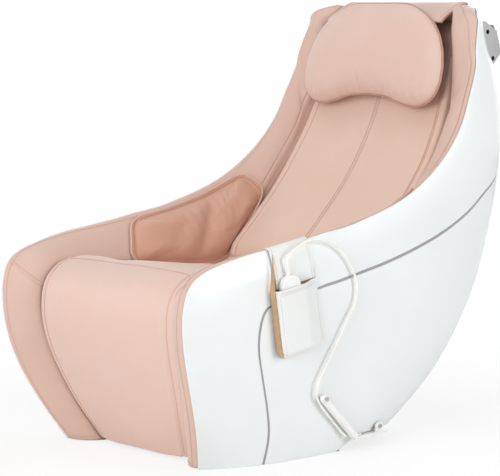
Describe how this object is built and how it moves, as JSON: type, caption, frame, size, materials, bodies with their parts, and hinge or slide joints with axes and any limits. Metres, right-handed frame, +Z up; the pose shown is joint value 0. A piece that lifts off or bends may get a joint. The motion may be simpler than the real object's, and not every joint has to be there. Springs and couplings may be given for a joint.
{
  "type": "massage chair",
  "caption": "Compact upholstered massage chair with a moulded bucket shell, flip-over head pillow, calf wells under a flip-up cover, and a corded handset in a side pocket.",
  "frame": {"origin": "on the floor, on the chair's middle plane, in the underside of the base pan", "axes": "+Z up, +Y towards the back of the chair, +X towards the side that carries the handset (the sitter's left); the sitter faces -Y"},
  "size_m": [0.697, 1.0525, 0.977],
  "materials": {
    "shell_white": "satin moulded",
    "trim_grey": "satin",
    "leather_pink": "soft matte",
    "leather_fold": "soft matte, gathered",
    "lining_tan": "brushed",
    "handset_white": "gloss",
    "key_grey": "matte",
    "key_red": "matte",
    "cord_beige": "matte",
    "stand_white": "powder coated",
    "steel": "satin",
    "polished": "polished",
    "base_dark": "matte",
    "pad_rubber": "matte",
    "frame_steel": "painted",
    "board_wood": "raw plywood",
    "shoe_nylon": "matte",
    "motor_dark": "matte",
    "arm_grey": "matte",
    "roller_rubber": "matte",
    "circuit_green": "matte",
    "pocket_white": "soft matte"
  },
  "bodies": {
    "chair": {"side_shell_right": "shell_white", "side_shell_left": "shell_white", "rear_shell": "shell_white", "trim_strip": "trim_grey", "arm_liner_right": "leather_pink", "arm_liner_left": "leather_pink", "side_airbag_right": "leather_fold", "side_airbag_left": "leather_fold", "seat_cushion": "leather_pink", "back_pad": "leather_pink", "top_roll": "leather_pink", "cover_hinge_rod": "steel", "calf_well": "leather_fold", "calf_airbags": "leather_pink", "base_pan": "base_dark", "floor_pads": "pad_rubber", "rear_skids": "stand_white", "skid_bolts": "steel", "rear_handle": "polished", "handle_screws": "base_dark", "remote_pocket": "pocket_white", "pocket_lining": "lining_tan", "remote_cord": "cord_beige", "cord_gland": "cord_beige", "power_inlet": "base_dark", "base_frame": "frame_steel", "seat_board": "board_wood", "arm_frame_right": "board_wood", "arm_frame_left": "board_wood", "rail_right": "steel", "rail_left": "steel", "rail_ties": "steel", "air_pump": "base_dark", "air_valves": "shoe_nylon", "control_box": "circuit_green", "power_supply": "motor_dark"},
    "pillow": {"head_pillow": "leather_pink", "pillow_strap": "leather_pink"},
    "cover": {"calf_cover": "leather_pink"},
    "remote": {"remote_body": "handset_white", "cord_boot": "cord_beige"},
    "power_key": {"key_power": "key_red"},
    "mode_key": {"key_mode": "key_grey"},
    "speed_key": {"key_speed": "key_grey"},
    "up_key": {"key_up": "key_grey"},
    "down_key": {"key_down": "key_grey"},
    "switch": {"power_switch": "base_dark"},
    "carriage": {"carriage_frame": "base_dark", "guide_shoes": "shoe_nylon", "travel_motor": "motor_dark", "knead_motor": "motor_dark"},
    "pinion": {"pinion_shaft": "steel"},
    "knead": {"knead_shaft": "steel"},
    "arm_right": {"massage_arm_right": "arm_grey"},
    "arm_left": {"massage_arm_left": "arm_grey"},
    "right_upper": {"roller_right_upper": "roller_rubber"},
    "right_lower": {"roller_right_lower": "roller_rubber"},
    "left_upper": {"roller_left_upper": "roller_rubber"},
    "left_lower": {"roller_left_lower": "roller_rubber"}
  },
  "joints": [
    {"name": "cover_flip", "type": "hinge", "parent": "chair", "child": "cover", "pos_m": [0, -0.314, 0.406], "axis": [-1, 0, 0], "range_deg": [0, 120]},
    {"name": "pillow_flip", "type": "hinge", "parent": "chair", "child": "pillow", "pos_m": [0, 0.51, 0.972], "axis": [-1, 0, 0], "range_deg": [0, 150]},
    {"name": "remote_slide", "type": "slide", "parent": "chair", "child": "remote", "axis": [0, -0.1564, 0.9877], "range_m": [0, 0.15], "deforming": ["remote_cord"]},
    {"name": "power_key_press", "type": "slide", "parent": "remote", "child": "power_key", "axis": [-1, 0, 0], "range_m": [0, 0.0008], "stiffness_N_per_m": 1500, "springref_m": -0.0004},
    {"name": "mode_key_press", "type": "slide", "parent": "remote", "child": "mode_key", "axis": [-1, 0, 0], "range_m": [0, 0.0008], "stiffness_N_per_m": 1500, "springref_m": -0.0004},
    {"name": "speed_key_press", "type": "slide", "parent": "remote", "child": "speed_key", "axis": [-1, 0, 0], "range_m": [0, 0.0008], "stiffness_N_per_m": 1500, "springref_m": -0.0004},
    {"name": "up_key_press", "type": "slide", "parent": "remote", "child": "up_key", "axis": [-1, 0, 0], "range_m": [0, 0.0008], "stiffness_N_per_m": 1500, "springref_m": -0.0004},
    {"name": "down_key_press", "type": "slide", "parent": "remote", "child": "down_key", "axis": [-1, 0, 0], "range_m": [0, 0.0008], "stiffness_N_per_m": 1500, "springref_m": -0.0004},
    {"name": "power_switch_rock", "type": "hinge", "parent": "chair", "child": "switch", "pos_m": [0.024, 0.37094, 0.12], "axis": [-1, 0, 0], "range_deg": [0, 14]},
    {"name": "carriage_travel", "type": "hinge", "parent": "chair", "child": "carriage", "pos_m": [0, -0.277, 1.035], "axis": [1, 0, 0], "range_deg": [-12, 12]},
    {"name": "pinion_spin", "type": "hinge", "parent": "carriage", "child": "pinion", "pos_m": [0, 0.33542, 0.47775], "axis": [1, 0, 0], "range_deg": [-570, 570]},
    {"name": "knead_spin", "type": "hinge", "parent": "carriage", "child": "knead", "pos_m": [0, 0.41663, 0.54024], "axis": [1, 0, 0], "continuous": true},
    {"name": "arm_right_rock", "type": "hinge", "parent": "carriage", "child": "arm_right", "pos_m": [0, 0.41663, 0.54024], "axis": [1, 0, 0], "range_deg": [-6, 6]},
    {"name": "arm_left_rock", "type": "hinge", "parent": "carriage", "child": "arm_left", "pos_m": [0, 0.41663, 0.54024], "axis": [1, 0, 0], "range_deg": [-6, 6]},
    {"name": "right_upper_spin", "type": "hinge", "parent": "arm_right", "child": "right_upper", "pos_m": [0, 0.41832, 0.6115], "axis": [1, 0, 0], "continuous": true},
    {"name": "right_lower_spin", "type": "hinge", "parent": "arm_right", "child": "right_lower", "pos_m": [0, 0.3498, 0.51544], "axis": [1, 0, 0], "continuous": true},
    {"name": "left_upper_spin", "type": "hinge", "parent": "arm_left", "child": "left_upper", "pos_m": [0, 0.41832, 0.6115], "axis": [1, 0, 0], "continuous": true},
    {"name": "left_lower_spin", "type": "hinge", "parent": "arm_left", "child": "left_lower", "pos_m": [0, 0.3498, 0.51544], "axis": [1, 0, 0], "continuous": true}
  ],
  "couplings": [
    {"joint": "pinion_spin", "follows": "carriage_travel", "ratio": -47}
  ]
}
